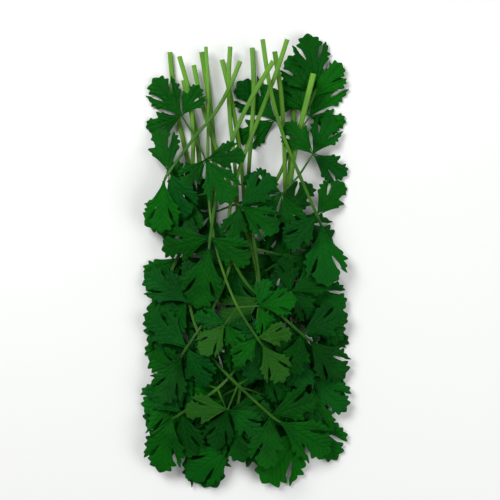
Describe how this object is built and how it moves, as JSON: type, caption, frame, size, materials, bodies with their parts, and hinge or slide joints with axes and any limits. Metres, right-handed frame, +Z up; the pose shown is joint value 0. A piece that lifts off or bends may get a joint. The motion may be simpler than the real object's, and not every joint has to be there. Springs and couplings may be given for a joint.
{
  "type": "parsley bunch",
  "caption": "Cut bunch of flat-leaf parsley lying down: long thin stems with lobed, toothed leaflets piled over one another.",
  "frame": {"origin": "middle of the bounding box, on the surface that the bunch lies on", "axes": "+Y towards the cut ends of the stems, +X across the bunch, +Z up from the surface"},
  "size_m": [0.1052, 0.2268, 0.0317],
  "materials": {
    "leaf_dark": "satin deep green leaf",
    "leaf_mid": "satin mid green leaf",
    "leaf_light": "matt pale green leaf"
  },
  "bodies": {
    "root": {"leafy_stem_01": "leaf_dark", "leafy_stem_02": "leaf_mid", "leafy_stem_03": "leaf_light", "leafy_stem_04": "leaf_mid", "leafy_stem_05": "leaf_light", "leafy_stem_06": "leaf_dark", "leafy_stem_07": "leaf_mid", "leafy_stem_08": "leaf_dark", "leafy_stem_09": "leaf_dark", "leafy_stem_10": "leaf_dark", "leafy_stem_11": "leaf_dark", "leafy_stem_12": "leaf_dark", "leafy_stem_13": "leaf_dark", "leafy_stem_14": "leaf_light", "leafy_stem_15": "leaf_mid", "leafy_stem_16": "leaf_mid", "leafy_stem_17": "leaf_mid"}
  },
  "joints": []
}
